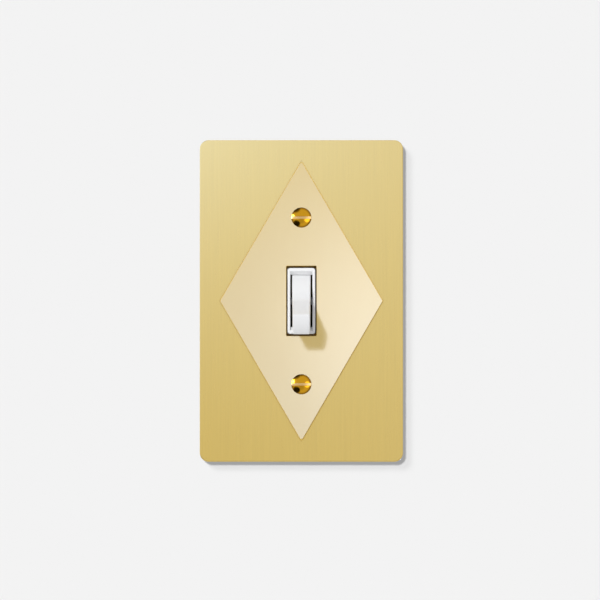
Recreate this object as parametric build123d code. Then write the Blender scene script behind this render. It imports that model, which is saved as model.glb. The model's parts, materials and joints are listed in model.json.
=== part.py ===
"""Toggle light switch with a brass wall plate and a raised diamond inlay.

Millimetres. X points right, Z points up and the front faces -Y. The origin is the centre of the
switch on the surface of the wall, so the plate stands in front of y = 0 and the switch body lies
behind it. The toggle is drawn at rest, pointing down, with the contacts open.
"""

import os
from math import atan, cos, degrees, hypot, radians, sin, sqrt, tan

from build123d import *

# Wall plate
plate_width = 73.6
plate_height = 116.5
plate_thickness = 3.2
plate_corner_radius = 3.2
plate_edge_round = 0.4
rim_width = 4.0
relief_depth = 1.2
relief_corner_radius = 2.0

# Diamond inlay, sharp size before its corners are rounded
diamond_width = 59.2
diamond_height = 101.9
inlay_thickness = 1.2
inlay_proud = 0.7
inlay_corner_radius = 0.8
inlay_edge_break = 0.25
pocket_corner_radius = 0.2
pocket_clearance = 0.06

# Plate screws, oval head, in the standard spacing for a wall plate
plate_screw_spacing = 60.325
plate_screw_length = 14.0
plate_screw_head = 7.2
plate_screw_dome = 1.1
plate_screw_slot = 1.0
plate_screw_slot_depth = 1.0
countersink_angle = 82.0
countersink_clearance = 0.06

# Six-thirty-two thread, shared by the plate screws and the box screws
thread_radius = 1.75
thread_clearance = 0.06
screw_tip_chamfer = 0.6

# Toggle lever and its swing
swing = 45.0
lever_length = 22.0
lever_tip_thickness = 7.72
lever_tip_width = 6.2
lever_root_width = 6.85
lever_tip_crown = 0.7
lever_draft = 4.0
lever_root_round = 3.0
lever_edge_round = 0.5
barrel_gap = 0.25
barrel_overlap = 5.0
tail_length = 5.0
tail_half_height = 5.5
trunnion_radius = 1.4
trunnion_engagement = 2.1
trunnion_clearance = 0.06
pivot_setback = 2.5

# Switch frame with the collar round the toggle
frame_depth = 5.5
collar_proud = 0.5
collar_side_rail = 1.0
collar_end_rail = 1.1
collar_corner_radius = 0.9
collar_edge_round = 0.3
shelf_end = 9.45
shelf_rise = 1.35
shelf_depth = 1.5
lever_side_gap = 0.57
opening_side_gap = 0.45
opening_end_gap = 0.75
opening_corner_radius = 0.4
opening_edge_round = 0.25

# Switch body
body_width = 32.0
body_end_gap = 1.3
body_corner_radius = 2.5
body_back_chamfer = 1.0
base_back_wall = 3.0
part_clearance = 0.15

# Mounting strap
strap_thickness = 1.1
strap_waist = 22.0
strap_window_gap = 0.25
ear_width = 33.0
ear_overhang = 10.8
ear_height = 13.2
ear_corner_radius = 2.5
ear_notch_width = 1.4
ear_notch_length = 6.0
ear_notch_spacing = 18.0
waist_fillet = 1.5
box_screw_spacing = 83.34
box_slot_length = 7.5
box_slot_gap = 0.3
ground_tab_width = 9.0
ground_tab_depth = 12.0
ground_tab_centre = -32.65
ground_tab_bend = 1.7
ground_tab_relief = 0.8
ground_screw_setback = 5.9

# Box screws and the retainers that keep them in the strap
box_screw_length = 25.0
box_screw_head = 8.0
box_screw_head_height = 0.5
box_screw_dome = 1.1
box_screw_slot = 1.0
box_screw_slot_depth = 0.9
box_screw_neck_radius = 1.4
box_screw_neck_length = 2.6
head_pocket_gap = 0.3
retainer_width = 9.0
retainer_thickness = 0.8

# Frame rivets
rivet_radius = 1.5
rivet_head_radius = 2.6
rivet_head_height = 0.8
rivet_head_round = 0.55

# Rocker that carries the moving contact
rocker_swing = 16.2
rocker_pin_depth = 11.4
rocker_pin_radius = 0.8
rocker_pin_end = 0.3
rocker_thickness = 1.0
rocker_width = 8.8
rocker_setback = 1.6
rocker_upper_reach = 12.4
rocker_lower_reach = 10.8
rocker_ear_thickness = 0.8
rocker_ear_radius = 1.3
rocker_ear_gap = 0.2
pin_clearance = 0.03
spring_post_radius = 1.1
spring_post_height = 1.3
rocker_stop_gap = 0.15
rocker_stop_lap = 1.0
cavity_margin = 1.2

# Contacts
contact_reach = 10.0
contact_radius = 2.0
contact_height = 0.9
contact_crown = 0.45
contact_closed_gap = 0.12
contact_shank_radius = 0.95
contact_shank_clearance = 0.05
contact_upset_radius = 1.5
contact_upset_height = 0.4

# Terminals and their screws
terminal_thickness = 1.1
terminal_pocket_depth = 1.7
terminal_spacing = 23.0
terminal_plate_height = 12.0
terminal_screw_depth = 5.4
terminal_leg_height = 7.0
terminal_leg_end = -3.5
terminal_screw_radius = 2.0
terminal_screw_clearance = 0.2
terminal_screw_length = 5.2
terminal_screw_head = 7.8
terminal_screw_head_height = 1.2
terminal_screw_dome = 0.8
terminal_screw_slot = 1.1
terminal_screw_slot_depth = 1.1
screw_pocket_height = 10.4
screw_pocket_depth = 9.6

# Spring clips that grip wires pushed in from the back
clip_thickness = 0.35
clip_width = 2.6
clip_channel = 3.2
clip_front_gap = 2.0
clip_bend_radius = 0.6
clip_blade_reach = 5.5
clip_blade_gap = 0.3
clip_edge_gap = 0.4
wire_hole_radius = 1.2
wire_hole_gap = 0.1
strip_gauge_length = 16.0
strip_gauge_width = 2.0
strip_gauge_depth = 0.6
strip_gauge_x = -9.0

# Green ground screw
ground_screw_radius = 2.2
ground_screw_length = 7.0
ground_head_flats = 7.9
ground_head_height = 3.4
ground_head_chamfer = 0.4
ground_washer_radius = 4.8
ground_washer_thickness = 0.8
ground_slot = 1.1
ground_slot_depth = 1.1

# Coil spring between the lever's tail and the rocker
spring_radius = 1.85
spring_wire_radius = 0.25
spring_turns = 5.0
spring_seat_depth = 2.0
spring_slot_gap = 0.3
spring_slot_flare = 33.0
spring_lever_lift = 1.15
spring_rocker_lift = 0.75

# Extra length that carries a cut clear through a face
through = 1.0

# Depths of the faces, counted from the wall towards the back
plate_front = -plate_thickness
inlay_front = plate_front - inlay_proud
inlay_back = inlay_front + inlay_thickness
collar_front = inlay_front - collar_proud
frame_front = strap_thickness
frame_back = frame_front + frame_depth
pivot_y = frame_front + pivot_setback
rocker_pin_y = frame_back + rocker_pin_depth

# The window's sloped shelves end at a round room about the pivot, which the lever's barrel fills
shelf_y = collar_front + shelf_depth
room_radius = hypot(pivot_y - shelf_y, shelf_end)
barrel_radius = room_radius - barrel_gap
shelf_angle = degrees(atan(shelf_end / (pivot_y - shelf_y)))
tip_half = lever_tip_thickness / 2
window_half = lever_root_width / 2 + lever_side_gap
collar_width = 2 * (window_half + collar_side_rail)
collar_height = 2 * (shelf_end + shelf_rise + collar_end_rail)
opening_width = collar_width + 2 * opening_side_gap
opening_height = collar_height + 2 * opening_end_gap
trunnion_half = window_half + trunnion_engagement
body_height = plate_screw_spacing - 2 * (thread_radius + body_end_gap)

# Where the closed contacts meet sets the depth of the terminals and of the whole base
half_rock = radians(rocker_swing / 2)
contact_face = contact_height - rocker_setback
closed_y = contact_face * cos(half_rock) + contact_reach * sin(half_rock)
closed_z = contact_reach * cos(half_rock) - contact_face * sin(half_rock)
fixed_contact_y = rocker_pin_y + closed_y + contact_closed_gap
leg_front = fixed_contact_y + contact_height
leg_back = leg_front + terminal_thickness
cavity_floor = leg_back + contact_upset_height + part_clearance
base_back = cavity_floor + base_back_wall
fork_half = rocker_width / 2 + rocker_ear_gap
pin_half = fork_half + terminal_thickness + rocker_pin_end
cavity_half = pin_half + cavity_margin
cavity_top = rocker_upper_reach + 2 * cavity_margin
cavity_bottom = -rocker_lower_reach - 2 * cavity_margin
rivet_z = (cavity_top + body_height / 2) / 2
terminal_face = body_width / 2 - terminal_pocket_depth
terminal_screw_y = frame_back + terminal_screw_depth
clip_face = terminal_face - terminal_thickness
clip_z = terminal_spacing / 2 + terminal_plate_height / 2 - clip_width / 2 - clip_edge_gap
channel_floor = leg_back + part_clearance
line_leg_low = -rocker_lower_reach + rocker_stop_lap + cavity_margin
line_neck_high = -terminal_spacing / 2 + terminal_plate_height / 2
rocker_stop_y = rocker_pin_y - rocker_setback * cos(half_rock) + rocker_lower_reach * sin(half_rock)


def block(x_low, x_high, y_low, y_high, z_low, z_high):
    """A box between two corners."""
    middle = Pos((x_low + x_high) / 2, (y_low + y_high) / 2, (z_low + z_high) / 2)
    return middle * Box(x_high - x_low, y_high - y_low, z_high - z_low)


def bar_y(radius, y_low, y_high, x=0.0, z=0.0):
    """A round bar along Y."""
    return Pos(x, (y_low + y_high) / 2, z) * Rot(X=-90) * Cylinder(radius, y_high - y_low)


def bar_x(radius, x_low, x_high, y=0.0, z=0.0):
    """A round bar along X."""
    return Pos((x_low + x_high) / 2, y, z) * Rot(Y=90) * Cylinder(radius, x_high - x_low)


def slab(outline, y_front, y_back):
    """A flat outline, drawn as seen from the front, given depth between two y levels."""
    plane = Plane(origin=(0, y_back, 0), x_dir=(1, 0, 0), z_dir=(0, -1, 0))
    return extrude(plane * outline, amount=y_back - y_front)


def side_profile(outline, half_width):
    """An outline drawn in Y and Z, given width to both sides of the middle plane."""
    return extrude(Plane.YZ * outline, amount=half_width, both=True)


def turn_about(shape, y, angle):
    """The shape turned about the X direction through the point y, z = 0."""
    return Pos(0, y, 0) * Rot(X=angle) * Pos(0, -y, 0) * shape


def pair(shape, spacing):
    """Two copies of a shape, one above and one below the middle."""
    return Compound([Pos(0, 0, spacing / 2) * shape, Pos(0, 0, -spacing / 2) * shape])


def diamond(clearance, corner_radius):
    """The diamond's outline, moved outwards by a clearance and rounded at its corners."""
    half_width = diamond_width / 2
    half_height = diamond_height / 2
    inner_radius = half_width * half_height / hypot(half_width, half_height)
    growth = 1 + clearance / inner_radius
    right = (half_width * growth, 0)
    top = (0, half_height * growth)
    left = (-half_width * growth, 0)
    bottom = (0, -half_height * growth)
    outline = make_face(Polyline(right, top, left, bottom, close=True))
    return fillet(outline.vertices(), corner_radius)


def turned_screw(head_radius, rim_y, dome, steps):
    """A screw turned about Y: a domed head, then straight lines through (radius, y) steps to the tip."""
    apex = (0, rim_y - dome)
    sphere = (head_radius**2 + dome**2) / (2 * dome)
    halfway = head_radius / 2
    middle = (halfway, apex[1] + sphere - sqrt(sphere**2 - halfway**2))
    rim = (head_radius, rim_y)
    top = ThreePointArc(apex, middle, rim)
    side = Polyline(rim, *steps)
    core = Line(steps[-1], apex)
    return revolve(make_face([top, side, core]), Axis.Y)


def drive_slot(width, apex_y, depth, head_radius):
    """The straight slot across a screw head whose dome starts at apex_y."""
    reach = head_radius + through
    return block(-reach, reach, apex_y - through, apex_y + depth, -width / 2, width / 2)


def toggle_opening(y_front, y_back):
    """The rectangular hole for the collar."""
    return slab(RectangleRounded(opening_width, opening_height, opening_corner_radius), y_front, y_back)


def countersink(clearance):
    """The seat of one plate screw: a cone from the inlay's face, then a straight hole."""
    head = plate_screw_head / 2 + clearance
    hole = thread_radius + clearance
    cone_depth = (head - hole) / tan(radians(countersink_angle / 2))
    cone_middle = inlay_front + cone_depth / 2
    cone = Pos(0, cone_middle, 0) * Rot(X=-90) * Cone(head, hole, cone_depth)
    mouth = bar_y(head, inlay_front - through, inlay_front)
    return mouth + cone + bar_y(hole, inlay_front, through)


def make_wall_plate():
    plate = slab(RectangleRounded(plate_width, plate_height, plate_corner_radius), plate_front, 0)
    plate = fillet(plate.faces().sort_by(Axis.Y)[0].edges(), plate_edge_round)
    inside = RectangleRounded(plate_width - 2 * rim_width, plate_height - 2 * rim_width, relief_corner_radius)
    plate -= slab(inside, -relief_depth, through)
    head_room = box_screw_head / 2 + 2 * head_pocket_gap
    head_depth = box_screw_head_height + box_screw_dome + head_pocket_gap
    plate -= pair(bar_y(head_room, -head_depth, through), box_screw_spacing)
    plate -= slab(diamond(pocket_clearance, pocket_corner_radius), plate_front - through, inlay_back)
    plate -= toggle_opening(plate_front - through, through)
    plate -= pair(countersink(countersink_clearance), plate_screw_spacing)
    return plate


def make_diamond_inlay():
    inlay = slab(diamond(0, inlay_corner_radius), inlay_front, inlay_back)
    inlay = chamfer(inlay.faces().sort_by(Axis.Y)[0].edges(), inlay_edge_break)
    inlay -= toggle_opening(inlay_front - through, inlay_back + through)
    mouth = inlay.faces().sort_by(Axis.Y)[0].inner_wires()[0]
    inlay = fillet(mouth.edges(), opening_edge_round)
    inlay -= pair(countersink(countersink_clearance), plate_screw_spacing)
    return inlay


def make_plate_screws():
    head = plate_screw_head / 2
    neck_y = inlay_front + (head - thread_radius) / tan(radians(countersink_angle / 2))
    tip_y = inlay_front + plate_screw_length
    steps = [
        (thread_radius, neck_y),
        (thread_radius, tip_y - screw_tip_chamfer),
        (thread_radius - screw_tip_chamfer, tip_y),
        (0, tip_y),
    ]
    screw = turned_screw(head, inlay_front, plate_screw_dome, steps)
    apex_y = inlay_front - plate_screw_dome
    screw -= drive_slot(plate_screw_slot, apex_y, plate_screw_slot_depth, head)
    return pair(screw, plate_screw_spacing)


def make_mounting_strap():
    ear_middle = box_screw_spacing / 2 + ear_overhang - ear_height / 2
    outline = Rectangle(strap_waist, 2 * ear_middle)
    for side in (1, -1):
        outline += Pos(0, side * ear_middle) * RectangleRounded(ear_width, ear_height, ear_corner_radius)
    inner_corners = outline.vertices().filter_by_position(Axis.X, -strap_waist / 2, strap_waist / 2)
    straight = (ear_width - strap_waist) / 2 - ear_corner_radius
    outline = fillet(inner_corners, min(waist_fillet, 0.8 * straight))
    strap = slab(outline, 0, strap_thickness)
    window_width = collar_width + 2 * strap_window_gap
    window_height = collar_height + 2 * strap_window_gap
    window = RectangleRounded(window_width, window_height, collar_corner_radius)
    strap -= slab(window, -through, strap_thickness + through)
    strap -= pair(bar_y(thread_radius + thread_clearance, -through, 2 * through), plate_screw_spacing)
    strap -= pair(bar_y(rivet_radius + thread_clearance, -through, 2 * through), 2 * rivet_z)
    slot_width = 2 * (thread_radius + box_slot_gap)
    slot = slab(SlotOverall(box_slot_length, slot_width), -through, strap_thickness + through)
    strap -= pair(slot, box_screw_spacing)
    # Narrow notches beside which the plaster ears are snapped off
    ear_end = box_screw_spacing / 2 + ear_overhang
    for side in (1, -1):
        x = side * ear_notch_spacing / 2
        notch = block(
            x - ear_notch_width / 2,
            x + ear_notch_width / 2,
            -through,
            strap_thickness + through,
            -ear_notch_length,
            ear_notch_length,
        )
        strap -= pair(notch, 2 * ear_end)
    # Tab bent back for the ground screw, between two relief cuts in the strap's edge
    tab_edge = -strap_waist / 2
    bend_end = tab_edge + ground_tab_bend
    relief_half = ground_tab_width / 2 + ground_tab_relief
    strap -= block(
        tab_edge - through,
        bend_end,
        -through,
        strap_thickness + through,
        ground_tab_centre - relief_half,
        ground_tab_centre + relief_half,
    )
    middle = strap_thickness / 2
    bend = FilletPolyline(
        (bend_end + through, middle),
        (tab_edge + middle, middle),
        (tab_edge + middle, ground_tab_depth),
        radius=ground_tab_bend - middle,
    )
    sheet = extrude(trace(bend, strap_thickness), amount=ground_tab_width / 2, both=True)
    tab = Pos(0, 0, ground_tab_centre) * sheet
    tab -= bar_x(
        ground_screw_radius + thread_clearance,
        tab_edge - through,
        tab_edge + 2 * through,
        strap_thickness + ground_screw_setback,
        ground_tab_centre,
    )
    return strap + tab


def make_switch_frame():
    outline = RectangleRounded(body_width, body_height, body_corner_radius)
    frame = slab(outline, frame_front, frame_back)
    collar = slab(
        RectangleRounded(collar_width, collar_height, collar_corner_radius), collar_front, frame_front
    )
    frame += collar
    front = collar_front - through
    back = frame_back + through
    # The window slopes in to its shelves and widens behind them to the barrel's room
    mouth = shelf_end + shelf_rise * (shelf_depth + through) / shelf_depth
    halfway = radians((shelf_angle + 90) / 2)
    window = [Line((front, -mouth), (front, mouth)), Line((back, -room_radius), (back, room_radius))]
    for side in (1, -1):
        shelf = (shelf_y, side * shelf_end)
        bulge = (pivot_y - room_radius * cos(halfway), side * room_radius * sin(halfway))
        crest = (pivot_y, side * room_radius)
        window.append(Line((front, side * mouth), shelf))
        window.append(ThreePointArc(shelf, bulge, crest))
        window.append(Line(crest, (back, side * room_radius)))
    frame -= side_profile(make_face(window), window_half)
    frame = fillet(frame.faces().sort_by(Axis.Y)[0].edges(), collar_edge_round)
    # Saddles for the lever's trunnions, open at the back
    saddle = trunnion_radius + trunnion_clearance
    reach = trunnion_half + part_clearance
    frame -= bar_x(saddle, -reach, reach, pivot_y)
    frame -= block(-reach, reach, pivot_y, back, -saddle, saddle)
    frame -= pair(bar_y(rivet_radius + thread_clearance, frame_front - through, back), 2 * rivet_z)
    return frame


def terminal_channel(z_low, z_high, x_low):
    """Room in the base, open at the front, for a terminal's strip between two heights."""
    return block(
        x_low,
        terminal_face + part_clearance,
        frame_back - through,
        channel_floor,
        z_low - part_clearance,
        z_high + part_clearance,
    )


def make_switch_base():
    outline = RectangleRounded(body_width, body_height, body_corner_radius)
    base = slab(outline, frame_back, base_back)
    base = chamfer(base.faces().sort_by(Axis.Y)[-1].edges(), body_back_chamfer)
    base -= block(
        -cavity_half, cavity_half, frame_back - through, cavity_floor, cavity_bottom, cavity_top
    )
    inner_face = terminal_face - terminal_thickness - part_clearance
    plate_half = terminal_plate_height / 2
    for side in (1, -1):
        z = side * terminal_spacing / 2
        base -= terminal_channel(z - plate_half, z + plate_half, inner_face)
        base -= block(
            terminal_face,
            body_width / 2 + through,
            terminal_screw_y - screw_pocket_depth / 2,
            terminal_screw_y + screw_pocket_depth / 2,
            z - screw_pocket_height / 2,
            z + screw_pocket_height / 2,
        )
        shank_end = terminal_face - terminal_screw_length - part_clearance
        hole = terminal_screw_radius + terminal_screw_clearance
        base -= bar_x(hole, shank_end, terminal_face, terminal_screw_y, z)
        base -= block(
            clip_face - clip_channel,
            terminal_face,
            frame_back - through,
            channel_floor,
            side * clip_z - clip_width / 2 - part_clearance,
            side * clip_z + clip_width / 2 + part_clearance,
        )
        wire_x = clip_face - wire_hole_radius - wire_hole_gap
        base -= bar_y(wire_hole_radius, channel_floor - through, base_back + through, wire_x, side * clip_z)
    base -= terminal_channel(closed_z - terminal_leg_height / 2, closed_z + terminal_leg_height / 2, 0)
    base -= terminal_channel(line_leg_low, line_neck_high, 0)
    # Moulded post that the rocker's lower end rests on while the contacts are open
    base += block(
        -rocker_width / 3,
        rocker_width / 3,
        rocker_stop_y + rocker_stop_gap,
        cavity_floor,
        -rocker_lower_reach - rocker_stop_lap,
        -rocker_lower_reach + rocker_stop_lap,
    )
    rivet_hole = bar_y(rivet_radius + thread_clearance, frame_back - through, base_back + through)
    base -= pair(rivet_hole, 2 * rivet_z)
    gauge = Pos(strip_gauge_x, 0) * SlotOverall(strip_gauge_length, strip_gauge_width, rotation=90)
    base -= slab(gauge, base_back - strip_gauge_depth, base_back + through)
    return base


def terminal_side_plate(side):
    """The plate under a terminal screw, on the right-hand side of the body."""
    z = side * terminal_spacing / 2
    plate = block(
        terminal_face - terminal_thickness,
        terminal_face,
        frame_back + part_clearance,
        leg_back,
        z - terminal_plate_height / 2,
        z + terminal_plate_height / 2,
    )
    hole = terminal_screw_radius + thread_clearance
    return plate - bar_x(hole, terminal_face - 2 * through, terminal_face + through, terminal_screw_y, z)


def make_load_terminal():
    low = closed_z - terminal_leg_height / 2
    leg = block(terminal_leg_end, terminal_face, leg_front, leg_back, low, low + terminal_leg_height)
    hole = contact_shank_radius + contact_shank_clearance
    return terminal_side_plate(1) + leg - bar_y(hole, leg_front - through, leg_back + through, 0, closed_z)


def make_line_terminal():
    fork_outer = fork_half + terminal_thickness
    ear_reach = rocker_ear_radius + terminal_thickness
    leg = block(-fork_outer, fork_outer, leg_front, leg_back, line_leg_low, ear_reach)
    leg += block(0, terminal_face, leg_front, leg_back, line_leg_low, line_neck_high)
    for side in (1, -1):
        inner = side * fork_half
        outer = side * fork_outer
        ear = block(min(inner, outer), max(inner, outer), rocker_pin_y, leg_back, -ear_reach, ear_reach)
        ear += bar_x(ear_reach, min(inner, outer), max(inner, outer), rocker_pin_y)
        leg += ear
    leg -= bar_x(rocker_pin_radius + pin_clearance, -fork_outer - through, fork_outer + through, rocker_pin_y)
    return terminal_side_plate(-1) + leg


def make_wire_clips():
    """Two folded leaf springs, each with a blade that leans on its terminal's side plate."""
    wall_x = clip_face - clip_channel + part_clearance + clip_thickness / 2
    blade_x = clip_face - clip_blade_gap - clip_thickness / 2
    bend_y = channel_floor - clip_thickness
    leaf = FilletPolyline(
        (wall_x, frame_back + clip_front_gap),
        (wall_x, bend_y),
        (blade_x, bend_y - clip_blade_reach),
        radius=clip_bend_radius,
    )
    clip = extrude(trace(leaf, clip_thickness), amount=clip_width / 2, both=True)
    return pair(clip, 2 * clip_z)


def make_fixed_contact():
    rim_y = fixed_contact_y + contact_crown
    tail_y = leg_back + contact_upset_height
    steps = [
        (contact_radius, leg_front),
        (contact_shank_radius, leg_front),
        (contact_shank_radius, leg_back),
        (contact_upset_radius, leg_back),
        (contact_upset_radius, tail_y),
        (0, tail_y),
    ]
    return Pos(0, 0, closed_z) * turned_screw(contact_radius, rim_y, contact_crown, steps)


def make_contact_rocker():
    plate_back = rocker_pin_y - rocker_setback
    plate_face = plate_back - rocker_thickness
    half = rocker_width / 2
    rocker = block(-half, half, plate_face, plate_back, -rocker_lower_reach, rocker_upper_reach)
    for side in (1, -1):
        inner = side * (half - rocker_ear_thickness)
        outer = side * half
        low, high = min(inner, outer), max(inner, outer)
        rocker += block(low, high, plate_back, rocker_pin_y, -rocker_ear_radius, rocker_ear_radius)
        rocker += bar_x(rocker_ear_radius, low, high, rocker_pin_y)
    rocker -= bar_x(rocker_pin_radius + pin_clearance, -half - through, half + through, rocker_pin_y)
    rocker += bar_y(spring_post_radius, plate_face - spring_post_height, plate_face)
    hole = contact_shank_radius + contact_shank_clearance
    rocker -= bar_y(hole, plate_face - through, plate_back + through, 0, contact_reach)
    return turn_about(rocker, rocker_pin_y, rocker_swing / 2)


def make_moving_contact():
    plate_back = rocker_pin_y - rocker_setback
    plate_face = plate_back - rocker_thickness
    contact = bar_y(contact_radius, plate_back, plate_back + contact_height, 0, contact_reach)
    contact += bar_y(contact_shank_radius, plate_face, plate_back, 0, contact_reach)
    contact += bar_y(contact_upset_radius, plate_face - contact_upset_height, plate_face, 0, contact_reach)
    return turn_about(contact, rocker_pin_y, rocker_swing / 2)


def make_rocker_pin():
    return bar_x(rocker_pin_radius, -pin_half, pin_half, rocker_pin_y)


def lever_point(along, across):
    """A point of the upright lever: distance from the pivot towards the tip, and height."""
    return (pivot_y - along, across)


def root_hollow():
    """Three points of the hollow where the lever's face meets the barrel, from the face to the barrel."""
    draft = radians(lever_draft)
    face_offset = lever_length * sin(draft) + tip_half * cos(draft)
    centre_offset = face_offset + lever_root_round
    along_face = sqrt((barrel_radius + lever_root_round) ** 2 - centre_offset**2)
    outwards = Vector(sin(draft), cos(draft))
    towards_tip = Vector(cos(draft), -sin(draft))
    centre = outwards * centre_offset + towards_tip * along_face
    on_face = centre - outwards * lever_root_round
    on_barrel = centre * (barrel_radius / (barrel_radius + lever_root_round))
    middle = centre + ((on_face + on_barrel) / 2 - centre).normalized() * lever_root_round
    return on_face, middle, on_barrel


def make_toggle_lever():
    hollow = root_hollow()
    barrel_start = degrees(atan(hollow[2].Y / hollow[2].X))
    barrel_end = shelf_angle + swing / 2 + barrel_overlap
    barrel = [radians(angle) for angle in (barrel_start, (barrel_start + barrel_end) / 2, barrel_end)]
    halves = []
    for side in (1, -1):
        corner = lever_point(lever_length, side * tip_half)
        root = [lever_point(point.X, side * point.Y) for point in hollow]
        rim = [lever_point(barrel_radius * cos(a), side * barrel_radius * sin(a)) for a in barrel]
        step = lever_point(tail_half_height / tan(barrel[-1]), side * tail_half_height)
        end = lever_point(-tail_length, side * tail_half_height)
        halves += [Line(corner, root[0]), ThreePointArc(*root), ThreePointArc(*rim)]
        halves.append(Polyline(rim[-1], step, end))
    tip = ThreePointArc(
        lever_point(lever_length, tip_half),
        lever_point(lever_length + lever_tip_crown, 0),
        lever_point(lever_length, -tip_half),
    )
    tail = Line(lever_point(-tail_length, tail_half_height), lever_point(-tail_length, -tail_half_height))
    lever = side_profile(make_face(halves + [tip, tail]), lever_root_width)
    # The lever narrows from the pivot to the tip, as seen from the front
    tip_y = pivot_y - lever_length
    tip_edge = lever_tip_width / 2
    root_edge = lever_root_width / 2
    tail_y = pivot_y + tail_length + through
    narrowing = (root_edge - tip_edge) / lever_length
    front_y = tip_y - lever_tip_crown - through
    front_edge = tip_edge + narrowing * (front_y - tip_y)
    plan = Polyline(
        (front_edge, front_y),
        (root_edge, pivot_y),
        (root_edge, tail_y),
        (-root_edge, tail_y),
        (-root_edge, pivot_y),
        (-front_edge, front_y),
        close=True,
    )
    lever &= extrude(Plane.XY * make_face(plan), amount=2 * barrel_radius, both=True)
    rounded = lever.edges().filter_by_position(Axis.Y, front_y, pivot_y - barrel_radius / 3)
    lever = fillet(rounded, lever_edge_round)
    lever += bar_x(trunnion_radius, -trunnion_half, trunnion_half, pivot_y)
    # Flared slot in the tail that lets the spring lean as the lever swings
    slot_half = spring_radius + spring_wire_radius + spring_slot_gap
    mouth = tail_length + through
    mouth_half = slot_half + (mouth - spring_seat_depth) * tan(radians(spring_slot_flare))
    slot = Polyline(
        lever_point(-spring_seat_depth, slot_half),
        lever_point(-mouth, mouth_half),
        lever_point(-mouth, -mouth_half),
        lever_point(-spring_seat_depth, -slot_half),
        close=True,
    )
    lever -= side_profile(make_face(slot), slot_half)
    return turn_about(lever, pivot_y, swing / 2)


def make_coil_spring():
    lean = radians(swing / 2)
    seat = Vector(0, pivot_y + spring_seat_depth * cos(lean), spring_seat_depth * sin(lean))
    arm = rocker_setback + rocker_thickness
    rest = Vector(0, rocker_pin_y - arm * cos(half_rock), -arm * sin(half_rock))
    direction = (rest - seat).normalized()
    start = seat + direction * spring_lever_lift
    length = (rest - seat).length - spring_lever_lift - spring_rocker_lift
    helix = Helix(length / spring_turns, length, spring_radius)
    wire = Plane(origin=helix @ 0, z_dir=helix % 0) * Circle(spring_wire_radius)
    coil = sweep(wire, path=helix)
    return Plane(origin=start, z_dir=direction) * coil


def make_terminal_screws():
    head = terminal_screw_head / 2
    tip = terminal_screw_length
    steps = [
        (head, 0),
        (terminal_screw_radius, 0),
        (terminal_screw_radius, tip - screw_tip_chamfer),
        (terminal_screw_radius - screw_tip_chamfer, tip),
        (0, tip),
    ]
    screw = turned_screw(head, -terminal_screw_head_height, terminal_screw_dome, steps)
    apex = -terminal_screw_head_height - terminal_screw_dome
    screw -= drive_slot(terminal_screw_slot, apex, terminal_screw_slot_depth, head)
    return pair(Pos(terminal_face, terminal_screw_y, 0) * Rot(Z=90) * screw, terminal_spacing)


def make_ground_screw():
    flats_radius = ground_head_flats / sqrt(3)
    head = slab(RegularPolygon(flats_radius, 6), -ground_head_height, -ground_washer_thickness)
    head = chamfer(head.faces().sort_by(Axis.Y)[0].edges(), ground_head_chamfer)
    washer = bar_y(ground_washer_radius, -ground_washer_thickness, 0)
    shank = bar_y(ground_screw_radius, 0, ground_screw_length)
    shank = chamfer(shank.edges().sort_by(Axis.Y)[-1], screw_tip_chamfer)
    screw = head + washer + shank
    screw -= drive_slot(ground_slot, -ground_head_height, ground_slot_depth, flats_radius)
    place = Pos(-strap_waist / 2, strap_thickness + ground_screw_setback, ground_tab_centre)
    return place * Rot(Z=-90) * screw


def make_box_screws():
    head = box_screw_head / 2
    tip = box_screw_length
    steps = [
        (head, 0),
        (box_screw_neck_radius, 0),
        (box_screw_neck_radius, box_screw_neck_length),
        (thread_radius, box_screw_neck_length),
        (thread_radius, tip - screw_tip_chamfer),
        (thread_radius - screw_tip_chamfer, tip),
        (0, tip),
    ]
    screw = turned_screw(head, -box_screw_head_height, box_screw_dome, steps)
    apex = -box_screw_head_height - box_screw_dome
    screw -= drive_slot(box_screw_slot, apex, box_screw_slot_depth, head)
    return pair(screw, box_screw_spacing)


def make_screw_retainers():
    back = strap_thickness + retainer_thickness
    plate = slab(Rectangle(retainer_width, retainer_width), strap_thickness, back)
    hole = box_screw_neck_radius + thread_clearance
    plate -= bar_y(hole, strap_thickness - through, back + through)
    return pair(plate, box_screw_spacing)


def make_frame_rivets():
    rivet = bar_y(rivet_radius, 0, base_back)
    rivet += bar_y(rivet_head_radius, -rivet_head_height, 0)
    rivet += bar_y(rivet_head_radius, base_back, base_back + rivet_head_height)
    ends = rivet.faces().filter_by(GeomType.PLANE).sort_by(Axis.Y)
    rivet = fillet(ends[0].edges() + ends[-1].edges(), rivet_head_round)
    return pair(rivet, 2 * rivet_z)


pieces = {
    "wall_plate": make_wall_plate,
    "diamond_inlay": make_diamond_inlay,
    "plate_screws": make_plate_screws,
    "mounting_strap": make_mounting_strap,
    "switch_frame": make_switch_frame,
    "switch_base": make_switch_base,
    "frame_rivets": make_frame_rivets,
    "toggle_lever": make_toggle_lever,
    "coil_spring": make_coil_spring,
    "contact_rocker": make_contact_rocker,
    "moving_contact": make_moving_contact,
    "rocker_pin": make_rocker_pin,
    "line_terminal": make_line_terminal,
    "load_terminal": make_load_terminal,
    "fixed_contact": make_fixed_contact,
    "wire_clips": make_wire_clips,
    "terminal_screws": make_terminal_screws,
    "ground_screw": make_ground_screw,
    "box_screws": make_box_screws,
    "screw_retainers": make_screw_retainers,
}

os.makedirs("parts", exist_ok=True)
for name, make in pieces.items():
    export_step(make(), f"parts/{name}.step")
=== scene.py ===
"""Looks of the toggle light switch: brass plate, diamond inlay, screws, toggle and the works behind.

Metres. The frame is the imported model: X points right, Z up, the front faces -Y and the wall is y = 0.
"""

import json
from collections import namedtuple
from math import cos, pi, radians, sin, sqrt, tan

import bmesh
import bpy
from mathutils import Matrix, Vector


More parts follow.
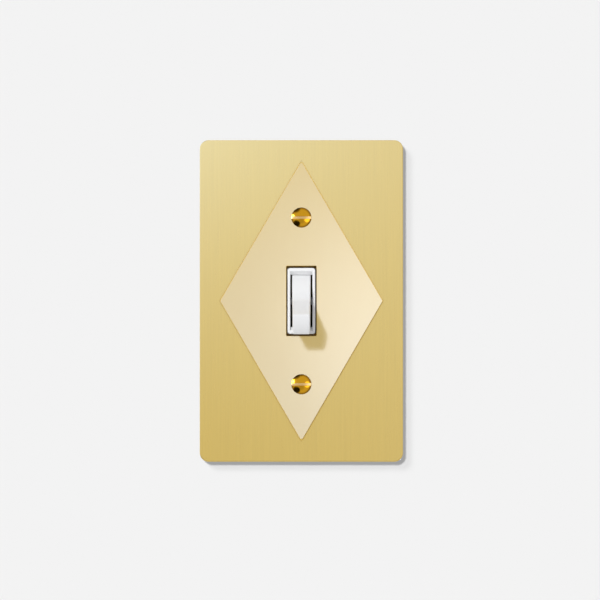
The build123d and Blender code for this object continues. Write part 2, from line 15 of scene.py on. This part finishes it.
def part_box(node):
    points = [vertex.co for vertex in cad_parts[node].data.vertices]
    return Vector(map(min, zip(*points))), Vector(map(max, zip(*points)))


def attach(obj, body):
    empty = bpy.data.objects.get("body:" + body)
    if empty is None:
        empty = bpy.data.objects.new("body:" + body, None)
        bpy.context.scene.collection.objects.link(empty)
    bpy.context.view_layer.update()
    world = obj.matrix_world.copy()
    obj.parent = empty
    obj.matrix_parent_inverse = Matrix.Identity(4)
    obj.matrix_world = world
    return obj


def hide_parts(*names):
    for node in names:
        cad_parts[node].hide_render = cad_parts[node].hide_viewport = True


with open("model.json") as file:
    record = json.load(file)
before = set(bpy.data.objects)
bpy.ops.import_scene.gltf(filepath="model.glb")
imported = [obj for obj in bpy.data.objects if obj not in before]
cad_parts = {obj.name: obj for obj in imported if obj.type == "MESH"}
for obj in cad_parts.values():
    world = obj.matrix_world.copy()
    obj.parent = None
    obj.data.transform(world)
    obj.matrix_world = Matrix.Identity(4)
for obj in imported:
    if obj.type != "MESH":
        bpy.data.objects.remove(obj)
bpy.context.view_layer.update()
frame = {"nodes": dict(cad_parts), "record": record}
nodes = frame["nodes"]

# Camera: straight on, with the photograph's scale at the face of the plate
metres_per_pixel = 0.0003619
image_side = 600
sensor_width = 36.0
camera_distance = 1.0
plate_face_y = -0.0035
camera_x = -0.0005
camera_z = 0.00034

# Wall: cut away where the plate hides it, with a faint glow of its own
wall_half = 2.0
wall_y = -0.0001
cutout_margin = 0.0006
wall_paint = 0.604
wall_roughness = 0.9
wall_glow = 0.1765

# Light for the whole object: a key from the upper left, even light all round and a lamp behind the wall.
# A flatter fill lights the wall alone and gives the plate its faint second shadow there.
key_direction = Vector((0.43, 1.0, -0.50))
key_strength = 2.6
key_spread = radians(11.0)
fill_direction = Vector((1.15, 1.0, -1.15))
fill_strength = 1.20
fill_spread = radians(15.0)
sun_distance = 1.5
rear_place = Vector((0.55, 0.85, 0.75))
rear_size = 1.2
rear_power = 14.0
world_light = 0.3
ground_grey = 0.896
middle = Vector((0.0, 0.0, 0.0))
plain_light = (1.0, 1.0, 1.0)

# Lamps for single pieces: a sheen on the plate, a glow on the diamond, a lift from below for the white
# pieces, a flank light from the right for the collar, a glint on the left of the screws and a gleam on
# their right
sheen_place = Vector((-0.142, -0.168, 0.099))
sheen_target = Vector((0.034, 0.0, 0.384))
sheen_size = 0.02
sheen_power = 5.7
sheen_colour = (0.80, 1.0, 1.0)
glow_target = Vector((0.052, -0.004, -0.014))
glow_cone = radians(7.6)
glow_blend = 1.0
glow_softness = 0.022
glow_power = 39.0
lift_place = Vector((0.0, -0.50, -0.35))
lift_size = 0.2
lift_power = 0.75
flank_place = Vector((0.28, -0.55, 0.12))
flank_size = 0.2
flank_power = 0.35
glint_place = Vector((-0.415, -0.26, 0.10))
glint_size = 0.15
glint_power = 2.5
gleam_place = Vector((0.31, -0.375, -0.05))
gleam_size = 0.32
gleam_power = 0.40

# What shiny surfaces mirror: an even pale room with darker parts. A part changes the room's level fully
# within its inner angle from a direction, in degrees, and not at all beyond its outer angle.
RoomPart = namedtuple("RoomPart", "towards inner outer change")
room_level = 0.83
room_parts = {
    "dark_above": RoomPart(Vector((-0.45, -0.42, 0.79)), inner=12.0, outer=26.0, change=-0.70),
    "dark_low_left": RoomPart(Vector((-0.48, -0.66, -0.58)), inner=17.0, outer=24.0, change=-0.81),
    "dark_low_right": RoomPart(Vector((0.75, 0.25, -0.60)), inner=20.0, outer=50.0, change=-0.60),
    "dim_below": RoomPart(Vector((0.0, -0.93, -0.36)), inner=8.0, outer=23.0, change=-0.22),
}

# Number 6-32 thread. The crest is how much the ridge's triangle is raised before it is cut off flat.
thread_radius = 0.00175
thread_depth = 0.00040
thread_pitch = 0.000794
thread_crest = 1.3
rings_per_pitch = 8
tip_chamfer = 0.0006

# Screw slots: the cutter runs past the head's rim, and the edges are eased
slot_overrun = 1.2
slot_bevel = 0.00007
slot_bevel_steps = 2
slot_bevel_angle = radians(50)
smooth_angle = radians(32)

# Plate screws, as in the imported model
plate_screw_spacing = 0.060325
plate_screw_radius = 0.0036
plate_screw_slot = 0.0010
plate_screw_slot_depth = 0.0010
plate_screw_dome = 0.0011
plate_screw_dome_rings = 24
plate_screw_segments = 80
countersink_half_angle = radians(41)

# Box screws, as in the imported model
box_screw_rim = 0.0005
box_screw_slot = 0.0010
box_screw_slot_depth = 0.0009
box_screw_dome = 0.0011
box_screw_dome_rings = 12
box_screw_segments = 40
box_screw_neck_radius = 0.0014
box_screw_neck_length = 0.0026

# Colours
gold = (0.80, 0.565, 0.12)
inlay_gold = (1.0, 0.683, 0.10)
milky_white = (0.81, 0.835, 0.83)
cool_white = (0.79, 0.81, 0.84)
screw_gold = (0.66, 0.335, 0.016)
# Painted dark reflection and shade at the rim of the plate screws
painted_rim_shade = (0.22, 0.10, 0.01)
slot_gold = (0.74, 0.50, 0.21)
strip_gold = (0.72, 0.52, 0.20)
# Painted shade: a near-black brass for the rocker deep in the gaps
gap_shade_gold = (0.09, 0.055, 0.02)
zinc = (0.42, 0.41, 0.385)
# Painted shade and golden bounce light on the zinc faces that look to the front
zinc_painted_shade = (0.24, 0.14, 0.035)
silver = (0.86, 0.85, 0.81)
steel = (0.45, 0.45, 0.46)
green = (0.05, 0.33, 0.13)
white = (0.76, 0.765, 0.775)
charcoal = (0.045, 0.042, 0.040)
fibre_red = (0.50, 0.16, 0.07)

# Finishes of the brass that is seen: grain in noise cells per metre along each axis, height of the relief,
# and roughness at both ends of the noise
brush_fine = (5200.0, 900.0, 70.0)
brush_broad = (1500.0, 300.0, 30.0)
brush_relief = 0.000006
brush_anisotropy = 0.9
plate_roughness = (0.27, 0.33)
inlay_cloud = (180.0, 180.0, 90.0)
inlay_fine = (2600.0, 2600.0, 2600.0)
inlay_relief = 0.000003
inlay_roughness = (0.28, 0.33)
screw_swirl = (700.0, 700.0, 700.0)
screw_relief = 0.00001
screw_roughness = (0.10, 0.34)

# Finishes of the other pieces by material slot: colour, its change from tone to tone, range of roughness,
# noise cells per metre, height of the relief and share of clear coat. The near-black brass is for the
# rocker, which shows deep in the gaps beside the lever: painted shade that makes the gaps dark.
Finish = namedtuple("Finish", "colour change rough cells relief coat", defaults=(0.0,))
metal_relief = 0.00001
fine_metal_relief = 0.000006
moulded_relief = 0.00002
glossy_relief = 0.0000015
white_coat = 0.35
coat_roughness = 0.12
pores_per_cloud = 12
plastics = {
    "white_plastic": Finish(
        white, change=0.006, rough=(0.27, 0.32), cells=2200.0, relief=glossy_relief, coat=white_coat
    ),
    "dark_plastic": Finish(charcoal, change=0.3, rough=(0.32, 0.65), cells=1800.0, relief=moulded_relief),
    "retainer_plastic": Finish(
        fibre_red, change=0.25, rough=(0.41, 0.71), cells=1500.0, relief=moulded_relief
    ),
}
metals = {
    "zinc_steel": Finish(zinc, change=0.10, rough=(0.38, 0.50), cells=420.0, relief=metal_relief),
    "strip_brass": Finish(strip_gold, change=0.10, rough=(0.24, 0.38), cells=500.0, relief=metal_relief),
    "screw_brass": Finish(strip_gold, change=0.08, rough=(0.18, 0.30), cells=700.0, relief=metal_relief),
    "contact_silver": Finish(silver, change=0.05, rough=(0.2, 0.32), cells=800.0, relief=fine_metal_relief),
    "spring_steel": Finish(steel, change=0.08, rough=(0.2, 0.3), cells=900.0, relief=fine_metal_relief),
    "green_steel": Finish(green, change=0.15, rough=(0.28, 0.42), cells=600.0, relief=metal_relief),
    "aged_brass": Finish(gap_shade_gold, change=0.15, rough=(0.35, 0.5), cells=500.0, relief=metal_relief),
}

# Ranges of a value over which a tone or a roughness changes. The rim is in shares of the head's radius,
# and the slot's value is the noise with 1 added in the slot.
middle_range = (0.3, 0.7)
whole_range = (0.0, 1.0)
rim_range = (0.76, 1.0)
slot_range = (0.3, 1.5)

# Lacquer: its share of what is seen on faces and on edges, and how much of the inlay's is lost for each
# metre upwards, which paints light on the inlay: paler towards the bottom, darker towards the top
plate_lacquer = 0.05
plate_edge_lacquer = 0.06
inlay_lacquer = 0.345
inlay_edge_lacquer = 0.12
inlay_lacquer_painted_fall = 1.15
lacquer_roughness = 0.5
lacquer_specular = 0.2

# The Y of a normal: where the lacquer goes from edge to face, and below which a face counts as the front
edge_to_face = (-0.80, -0.97)
front_normal = -0.7


def new_material(name, base, settings):
    """A material with one Principled shader, its constant values set on the shader's own sockets."""
    material = bpy.data.materials.new(name)
    material.use_nodes = True
    shader = material.node_tree.nodes["Principled BSDF"]
    shader.inputs["Base Color"].default_value = (*base, 1.0)
    for socket, value in settings.items():
        shader.inputs[socket].default_value = value
    return material


def math_node(tree, operation, first, second=None):
    """The result of a sum, product or comparison of node outputs or plain numbers."""
    node = tree.nodes.new("ShaderNodeMath")
    node.operation = operation
    for socket, value in zip(node.inputs, (first, second)):
        if isinstance(value, bpy.types.NodeSocket):
            tree.links.new(value, socket)
        elif value is not None:
            socket.default_value = value
    return node.outputs["Value"]


def range_node(tree, value, before, after):
    """A node that carries a value from one range to another and holds it at the ends."""
    node = tree.nodes.new("ShaderNodeMapRange")
    node.inputs["From Min"].default_value, node.inputs["From Max"].default_value = before
    node.inputs["To Min"].default_value, node.inputs["To Max"].default_value = after
    tree.links.new(value, node.inputs["Value"])
    return node


def axis_of(tree, coordinate, axis):
    """One axis of a texture coordinate, such as the Z of a point's place on the object."""
    axes = tree.nodes.new("ShaderNodeSeparateXYZ")
    tree.links.new(tree.nodes.new("ShaderNodeTexCoord").outputs[coordinate], axes.inputs["Vector"])
    return axes.outputs[axis]


def grain(material, scale, detail):
    """Noise over the piece's own place in metres, with a scale for each axis. Gives the noise's output."""
    tree = material.node_tree
    place = tree.nodes.new("ShaderNodeTexCoord")
    stretch = tree.nodes.new("ShaderNodeMapping")
    stretch.inputs["Scale"].default_value = scale
    noise = tree.nodes.new("ShaderNodeTexNoise")
    noise.inputs["Scale"].default_value = 1.0
    noise.inputs["Detail"].default_value = detail
    tree.links.new(place.outputs["Object"], stretch.inputs["Vector"])
    tree.links.new(stretch.outputs["Vector"], noise.inputs["Vector"])
    return noise.outputs["Fac"]


def vary_colour(material, value, low, high, spread=middle_range):
    """The base colour runs between two tones as the value runs over a spread."""
    tree = material.node_tree
    ramp = tree.nodes.new("ShaderNodeValToRGB")
    for stop, position, colour in zip(ramp.color_ramp.elements, spread, (low, high)):
        stop.position = position
        stop.color = (*colour, 1.0)
    tree.links.new(value, ramp.inputs["Fac"])
    tree.links.new(ramp.outputs["Color"], tree.nodes["Principled BSDF"].inputs["Base Color"])


def vary_roughness(material, value, low, high, spread=middle_range):
    """The roughness runs between two values as the value runs over a spread."""
    tree = material.node_tree
    scale = range_node(tree, value, spread, (low, high))
    tree.links.new(scale.outputs["Result"], tree.nodes["Principled BSDF"].inputs["Roughness"])


def raise_surface(material, value, height, strength):
    """Fine relief of a given height in metres."""
    tree = material.node_tree
    bump = tree.nodes.new("ShaderNodeBump")
    bump.inputs["Strength"].default_value = strength
    bump.inputs["Distance"].default_value = height
    tree.links.new(value, bump.inputs["Height"])
    tree.links.new(bump.outputs["Normal"], tree.nodes["Principled BSDF"].inputs["Normal"])


def tones(colour, change):
    """A darker and a lighter tone of a colour."""
    darker = tuple(c * (1 - change) for c in colour)
    lighter = tuple(min(1.0, c * (1 + change)) for c in colour)
    return darker, lighter


def paint_over(material, mask, colour):
    """Puts a colour over the base colour that the nodes give, where the mask is 1."""
    tree = material.node_tree
    base = tree.nodes["Principled BSDF"].inputs["Base Color"]
    below = base.links[0].from_socket
    choice = tree.nodes.new("ShaderNodeMix")
    choice.data_type = "RGBA"
    choice.inputs["B"].default_value = (*colour, 1.0)
    tree.links.new(mask, choice.inputs["Factor"])
    tree.links.new(below, choice.inputs["A"])
    tree.links.new(choice.outputs["Result"], base)


def lacquer(material, colour, share, edge_share, painted_fall=0.0):
    """Covers a metal with a milky lacquer that makes up a share of what is seen, another one on edges.

    A fall lowers the share by that much for each metre upwards: painted light, paler towards the bottom.
    """
    tree = material.node_tree
    film_share = range_node(tree, axis_of(tree, "Normal", "Y"), edge_to_face, (edge_share, share))
    if painted_fall:
        change = math_node(tree, "MULTIPLY", axis_of(tree, "Object", "Z"), -painted_fall)
        tree.links.new(math_node(tree, "ADD", change, share), film_share.inputs["To Max"])
    film = tree.nodes.new("ShaderNodeBsdfPrincipled")
    film.inputs["Base Color"].default_value = (*colour, 1.0)
    film.inputs["Roughness"].default_value = lacquer_roughness
    film.inputs["Specular IOR Level"].default_value = lacquer_specular
    layers = tree.nodes.new("ShaderNodeMixShader")
    tree.links.new(film_share.outputs["Result"], layers.inputs["Fac"])
    tree.links.new(tree.nodes["Principled BSDF"].outputs["BSDF"], layers.inputs[1])
    tree.links.new(film.outputs["BSDF"], layers.inputs[2])
    tree.links.new(layers.outputs["Shader"], tree.nodes["Material Output"].inputs["Surface"])


def make_brushed_brass():
    """Satin brass of the plate, brushed along Z."""
    material = new_material("brushed_brass", gold, {"Metallic": 1.0, "Anisotropic": brush_anisotropy})
    tree = material.node_tree
    tangent = tree.nodes.new("ShaderNodeTangent")
    tangent.direction_type = "RADIAL"
    tangent.axis = "Z"
    tree.links.new(tangent.outputs["Tangent"], tree.nodes["Principled BSDF"].inputs["Tangent"])
    fine = grain(material, brush_fine, detail=4.0)
    broad = grain(material, brush_broad, detail=3.0)
    vary_colour(material, broad, *tones(gold, change=0.025))
    vary_roughness(material, fine, *plate_roughness)
    raise_surface(material, fine, brush_relief, strength=0.6)
    lacquer(material, milky_white, plate_lacquer, plate_edge_lacquer)
    return material


def make_pale_brass():
    """Smooth satin brass of the inlay, which shines through a thin milky lacquer."""
    material = new_material("pale_brass", inlay_gold, {"Metallic": 1.0})
    cloud = grain(material, inlay_cloud, detail=3.0)
    fine = grain(material, inlay_fine, detail=2.0)
    vary_colour(material, cloud, *tones(inlay_gold, change=0.02))
    vary_roughness(material, cloud, *inlay_roughness)
    raise_surface(material, fine, inlay_relief, strength=0.3)
    # Painted light: the lacquer's share falls upwards, so the inlay is paler towards the bottom
    lacquer(material, cool_white, inlay_lacquer, inlay_edge_lacquer, inlay_lacquer_painted_fall)
    return material


def make_polished_brass():
    """Bright turned brass of the plate screws, painted dark at the rim as painted reflection and shade, with
    a paler, rougher slot.
    """
    material = new_material("polished_brass", screw_gold, {"Metallic": 1.0})
    tree = material.node_tree
    swirl = grain(material, screw_swirl, detail=3.0)
    height = math_node(tree, "ABSOLUTE", axis_of(tree, "Object", "Z"))
    upward = math_node(tree, "ABSOLUTE", math_node(tree, "SUBTRACT", height, plate_screw_spacing / 2))
    sideways = math_node(tree, "ABSOLUTE", axis_of(tree, "Object", "X"))
    squares = [math_node(tree, "POWER", distance, 2.0) for distance in (sideways, upward)]
    from_axis = math_node(tree, "SQRT", math_node(tree, "ADD", *squares))
    rim = math_node(tree, "DIVIDE", from_axis, plate_screw_radius)
    slot = math_node(tree, "LESS_THAN", upward, plate_screw_slot / 2 - slot_bevel)
    # Painted reflection and shade: the head turns dark brown towards its rim
    vary_colour(material, rim, screw_gold, painted_rim_shade, rim_range)
    paint_over(material, slot, slot_gold)
    vary_roughness(material, math_node(tree, "ADD", slot, swirl), *screw_roughness, slot_range)
    raise_surface(material, swirl, screw_relief, strength=0.25)
    return material


def make_metal(name, finish):
    """A plain metal with a mottled tone, a range of roughness and fine relief."""
    material = new_material(name, finish.colour, {"Metallic": 1.0})
    mottle = grain(material, (finish.cells,) * 3, detail=4.0)
    vary_colour(material, mottle, *tones(finish.colour, finish.change))
    vary_roughness(material, mottle, *finish.rough)
    raise_surface(material, mottle, finish.relief, strength=0.4)
    return material


def paint_front_shade(material, colour):
    """Paints shade on the faces that look to the front: they get a colour that stands in for light and shade
    there.
    """
    tree = material.node_tree
    front = math_node(tree, "LESS_THAN", axis_of(tree, "Normal", "Y"), front_normal)
    paint_over(material, front, colour)


def make_plastic(name, finish):
    """A moulded plastic with a cloudy change of tone and a fine moulded surface."""
    clear_coat = {"Coat Weight": finish.coat, "Coat Roughness": coat_roughness}
    material = new_material(name, finish.colour, clear_coat)
    cloud = grain(material, (finish.cells / pores_per_cloud,) * 3, detail=2.0)
    pores = grain(material, (finish.cells,) * 3, detail=3.0)
    vary_colour(material, cloud, *tones(finish.colour, finish.change), whole_range)
    vary_roughness(material, cloud, *finish.rough, whole_range)
    raise_surface(material, pores, finish.relief, strength=0.35)
    return material


def lathe(name, rings, segments):
    """A closed body turned about Y. A ring is y, radius and how deep a screw thread is cut into it."""
    mesh = bmesh.new()
    rows = []
    for y, radius, cut in rings:
        row = []
        for step in range(segments):
            turn = step / segments
            phase = (y / thread_pitch - turn) % 1.0
            ridge = min(1.0, thread_crest * (1.0 - abs(2.0 * phase - 1.0)))
            reach = radius - cut * (1.0 - ridge)
            row.append(mesh.verts.new((reach * cos(2 * pi * turn), y, reach * sin(2 * pi * turn))))
        rows.append(row)
    for lower, upper in zip(rows, rows[1:]):
        for step in range(segments):
            following = (step + 1) % segments
            mesh.faces.new((lower[step], lower[following], upper[following], upper[step]))
    mesh.faces.new(rows[0][::-1])
    mesh.faces.new(rows[-1])
    bmesh.ops.recalc_face_normals(mesh, faces=mesh.faces)
    data = bpy.data.meshes.new(name)
    mesh.to_mesh(data)
    mesh.free()
    return data


def dome_rings(head_radius, rim_y, dome, count):
    """Rings of a domed screw head from its top to its rim."""
    sphere = (head_radius**2 + dome**2) / (2 * dome)
    rings = []
    for step in range(1, count + 1):
        radius = head_radius * step / count
        rings.append((rim_y - dome + sphere - sqrt(sphere**2 - radius**2), radius, 0.0))
    return rings


def thread_rings(y_start, y_end, radius):
    """Rings of a threaded shank whose thread starts gradually, then the chamfered tip."""
    length = y_end - tip_chamfer - y_start
    count = int(length / thread_pitch * rings_per_pitch)
    rings = []
    for step in range(count + 1):
        y = y_start + step / count * length
        run_in = min(1.0, (y - y_start) / thread_pitch)
        rings.append((y, radius, thread_depth * run_in))
    rings.append((y_end, radius - tip_chamfer, 0.0))
    return rings


def cut_slot(data, width, apex_y, depth, head_radius):
    """The screw with a straight slot across its head."""
    body = bpy.data.objects.new("slot_body", data)
    cutter_mesh = bmesh.new()
    bmesh.ops.create_cube(cutter_mesh, size=1.0)
    height = 2 * depth
    place = Matrix.Translation((0, apex_y + depth - height / 2, 0))
    cutter_mesh.transform(place @ Matrix.Diagonal((2 * slot_overrun * head_radius, height, width, 1.0)))
    cutter_data = bpy.data.meshes.new("slot_cutter")
    cutter_mesh.to_mesh(cutter_data)
    cutter_mesh.free()
    cutter = bpy.data.objects.new("slot_cutter", cutter_data)
    for each in (body, cutter):
        bpy.context.scene.collection.objects.link(each)
    cut = body.modifiers.new("slot", "BOOLEAN")
    cut.object = cutter
    cut.operation = "DIFFERENCE"
    cut.solver = "EXACT"
    bpy.context.view_layer.update()
    result = bpy.data.meshes.new_from_object(body.evaluated_get(bpy.context.evaluated_depsgraph_get()))
    for each in (body, cutter):
        bpy.data.objects.remove(each)
    return result


def screw_pair(name, node, data, spacing, slot):
    """Two screws above and below the middle, with eased edges, in place of a node of the frame."""
    both = bmesh.new()
    for side in (1, -1):
        both.from_mesh(data)
        added = both.verts[-len(data.vertices):]
        bmesh.ops.translate(both, verts=added, vec=(0, 0, side * spacing / 2))
    joined = bpy.data.meshes.new(name)
    both.to_mesh(joined)
    both.free()
    joined.shade_smooth()
    joined.set_sharp_from_angle(angle=smooth_angle)
    joined.materials.clear()
    joined.materials.append(looks[slot])
    piece = bpy.data.objects.new(name, joined)
    bpy.context.scene.collection.objects.link(piece)
    ease = piece.modifiers.new("eased_edges", "BEVEL")
    ease.width = slot_bevel
    ease.segments = slot_bevel_steps
    ease.limit_method = "ANGLE"
    ease.angle_limit = slot_bevel_angle
    ease.harden_normals = True
    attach(piece, "switch_body")
    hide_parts(node)
    return piece


def make_plate_screws():
    """Oval-head brass screws of the plate."""
    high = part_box("plate_screws")[1]
    head_radius = high.x
    rim_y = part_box("diamond_inlay")[0].y
    neck_y = rim_y + (head_radius - thread_radius) / tan(countersink_half_angle)
    rings = dome_rings(head_radius, rim_y, plate_screw_dome, plate_screw_dome_rings)
    rings += [(neck_y, thread_radius, 0.0)]
    rings += thread_rings(neck_y + thread_pitch / 2, high.y, thread_radius)
    data = lathe("plate_screw", rings, plate_screw_segments)
    data = cut_slot(data, plate_screw_slot, rim_y - plate_screw_dome, plate_screw_slot_depth, head_radius)
    return screw_pair("plate_screw_pair", "plate_screws", data, plate_screw_spacing, "polished_brass")


def make_box_screws():
    """Captive screws that fix the strap to the wall box, with a plain neck under the head."""
    low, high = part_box("box_screws")
    head_radius = high.x
    spacing = high.z - low.z - 2 * head_radius
    rings = dome_rings(head_radius, -box_screw_rim, box_screw_dome, box_screw_dome_rings)
    rings += [(0.0, head_radius, 0.0), (0.0, box_screw_neck_radius, 0.0)]
    rings += [(box_screw_neck_length, box_screw_neck_radius, 0.0)]
    rings += thread_rings(box_screw_neck_length, high.y, thread_radius)
    data = lathe("box_screw", rings, box_screw_segments)
    data = cut_slot(data, box_screw_slot, -box_screw_rim - box_screw_dome, box_screw_slot_depth, head_radius)
    return screw_pair("box_screw_pair", "box_screws", data, spacing, "zinc_steel")


def make_wall():
    """A pale wall seen from the front only, with the opening of the wall box behind the plate."""
    mesh = bmesh.new()
    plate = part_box("wall_plate")[1]
    corners = ((-1, -1), (1, -1), (1, 1), (-1, 1))
    halves = ((wall_half, wall_half), (plate.x - cutout_margin, plate.z - cutout_margin))
    rings = []
    for half_width, half_height in halves:
        rings.append([mesh.verts.new((x * half_width, wall_y, z * half_height)) for x, z in corners])
    outer, inner = rings
    for step in range(len(corners)):
        following = (step + 1) % len(corners)
        mesh.faces.new((outer[step], outer[following], inner[following], inner[step]))
    data = bpy.data.meshes.new("wall")
    mesh.to_mesh(data)
    mesh.free()
    wall = bpy.data.objects.new("wall", data)
    bpy.context.scene.collection.objects.link(wall)
    paint = {
        "Roughness": wall_roughness,
        "Specular IOR Level": 0.0,
        "Emission Color": (*plain_light, 1.0),
        "Emission Strength": wall_glow,
    }
    material = new_material("wall_paint", (wall_paint,) * 3, paint)
    tree = material.node_tree
    side = tree.nodes.new("ShaderNodeNewGeometry")
    clear = tree.nodes.new("ShaderNodeBsdfTransparent")
    choice = tree.nodes.new("ShaderNodeMixShader")
    tree.links.new(side.outputs["Backfacing"], choice.inputs["Fac"])
    tree.links.new(tree.nodes["Principled BSDF"].outputs["BSDF"], choice.inputs[1])
    tree.links.new(clear.outputs["BSDF"], choice.inputs[2])
    tree.links.new(choice.outputs["Shader"], tree.nodes["Material Output"].inputs["Surface"])
    data.materials.append(material)
    return wall


def add_lamp(name, kind, place, target, power):
    """A lamp of a kind, aimed at a target."""
    data = bpy.data.lights.new(name, kind)
    data.energy = power
    lamp = bpy.data.objects.new(name, data)
    bpy.context.scene.collection.objects.link(lamp)
    lamp.location = place
    lamp.rotation_mode = "QUATERNION"
    lamp.rotation_quaternion = (target - place).to_track_quat("-Z", "Y")
    return lamp


def add_sun(name, direction, strength, spread):
    """Light from far away, which shiny surfaces don't mirror."""
    sun = add_lamp(name, "SUN", -sun_distance * direction, middle, strength)
    sun.data.angle = spread
    sun.visible_glossy = False
    return sun


def group(name, pieces):
    """A collection of pieces for a lamp to light or be blocked by."""
    members = bpy.data.collections.new(name)
    for piece in pieces:
        members.objects.link(piece)
    return members


def light_only(lamp, pieces):
    """Lets a lamp light some pieces alone."""
    lamp.light_linking.receiver_collection = group(lamp.name + "_receivers", pieces)


def add_disk(name, place, target, size, power, pieces, dull, colour=plain_light, shadow=False):
    """A round lamp for some pieces alone. It adds either dull light or a mirrored highlight."""
    lamp = add_lamp(name, "AREA", place, target, power)
    lamp.data.size = size
    lamp.data.color = colour
    lamp.data.shape = "DISK"
    lamp.data.use_shadow = shadow
    lamp.visible_glossy = not dull
    lamp.visible_diffuse = dull
    light_only(lamp, pieces)


def add_background(tree, colour):
    """A plain background of a colour."""
    background = tree.nodes.new("ShaderNodeBackground")
    background.inputs["Color"].default_value = (*colour, 1.0)
    return background


def make_world():
    """Even light for dull surfaces, a room for shiny ones to mirror and a pale ground for the camera."""
    world = bpy.data.worlds.new("studio")
    bpy.context.scene.world = world
    world.use_nodes = True
    tree = world.node_tree
    direction = tree.nodes.new("ShaderNodeTexCoord").outputs["Generated"]
    level = room_level
    for name, part in room_parts.items():
        nearness = tree.nodes.new("ShaderNodeVectorMath")
        nearness.name = name
        nearness.operation = "DOT_PRODUCT"
        nearness.inputs[1].default_value = part.towards.normalized()
        tree.links.new(direction, nearness.inputs[0])
        angles = (cos(radians(part.outer)), cos(radians(part.inner)))
        fade = range_node(tree, nearness.outputs["Value"], angles, (0.0, part.change))
        fade.interpolation_type = "SMOOTHSTEP"
        level = math_node(tree, "ADD", fade.outputs["Result"], level)
    light = add_background(tree, plain_light)
    light.inputs["Strength"].default_value = world_light
    room = add_background(tree, plain_light)
    tree.links.new(level, room.inputs["Strength"])
    ground = add_background(tree, (ground_grey,) * 3)
    path = tree.nodes.new("ShaderNodeLightPath")
    shiny = tree.nodes.new("ShaderNodeMixShader")
    seen = tree.nodes.new("ShaderNodeMixShader")
    tree.links.new(path.outputs["Is Glossy Ray"], shiny.inputs["Fac"])
    tree.links.new(light.outputs["Background"], shiny.inputs[1])
    tree.links.new(room.outputs["Background"], shiny.inputs[2])
    tree.links.new(path.outputs["Is Camera Ray"], seen.inputs["Fac"])
    tree.links.new(shiny.outputs["Shader"], seen.inputs[1])
    tree.links.new(ground.outputs["Background"], seen.inputs[2])
    tree.links.new(seen.outputs["Shader"], tree.nodes["World Output"].inputs["Surface"])


def make_camera():
    """A camera that sees the photograph's frame."""
    data = bpy.data.cameras.new("camera")
    data.sensor_width = sensor_width
    data.lens = sensor_width * camera_distance / (image_side * metres_per_pixel)
    camera = bpy.data.objects.new("camera", data)
    bpy.context.scene.collection.objects.link(camera)
    camera.location = (camera_x, plate_face_y - camera_distance, camera_z)
    camera.rotation_euler = (pi / 2, 0.0, 0.0)
    bpy.context.scene.camera = camera


looks = {
    "brushed_brass": make_brushed_brass(),
    "pale_brass": make_pale_brass(),
    "polished_brass": make_polished_brass(),
}
for name, finish in plastics.items():
    looks[name] = make_plastic(name, finish)
for name, finish in metals.items():
    looks[name] = make_metal(name, finish)

# Painted shade: zinc faces that look to the front, the strap's front in the gap round the collar among them,
# are painted the brown of the shade and golden light of the brass above
paint_front_shade(looks["zinc_steel"], zinc_painted_shade)

for part in frame["record"]["materials"]:
    assert part["slot"] in looks, part["slot"]
for node in nodes.values():
    slot_name = node.data.materials[0].name
    node.data.materials[0] = looks[slot_name]
# Painted shade: the rocker, deep in the gaps beside the lever, is made near black
nodes["contact_rocker"].data.materials[0] = looks["aged_brass"]

plate_screws = make_plate_screws()
make_box_screws()
wall = make_wall()

# The plate and its screws throw no golden light on dull surfaces
nodes["wall_plate"].visible_diffuse = False
plate_screws.visible_diffuse = False

add_sun("key", key_direction, key_strength, key_spread)
fill = add_sun("fill", fill_direction, fill_strength, fill_spread)
light_only(fill, [wall])
fill.light_linking.blocker_collection = group("fill_blockers", [nodes["wall_plate"]])
rear = add_lamp("rear", "AREA", rear_place, middle, rear_power)
rear.data.size = rear_size

plate = [nodes["wall_plate"]]
collar = [nodes["switch_frame"]]
white_pieces = [nodes["toggle_lever"], nodes["switch_frame"]]
add_disk("sheen", sheen_place, sheen_target, sheen_size, sheen_power, plate, dull=True, colour=sheen_colour)
glow = add_lamp("glow", "SPOT", -key_direction.normalized(), glow_target, glow_power)
glow.data.spot_size = glow_cone
glow.data.spot_blend = glow_blend
glow.data.shadow_soft_size = glow_softness
glow.visible_glossy = False
light_only(glow, [nodes["diamond_inlay"]])
add_disk("lift", lift_place, middle, lift_size, lift_power, white_pieces, dull=True, shadow=True)
add_disk("flank", flank_place, middle, flank_size, flank_power, collar, dull=True, shadow=True)
add_disk("glint", glint_place, middle, glint_size, glint_power, [plate_screws], dull=False)
add_disk("gleam", gleam_place, middle, gleam_size, gleam_power, [plate_screws], dull=False)

make_world()
make_camera()
bpy.context.scene.view_settings.view_transform = "Standard"
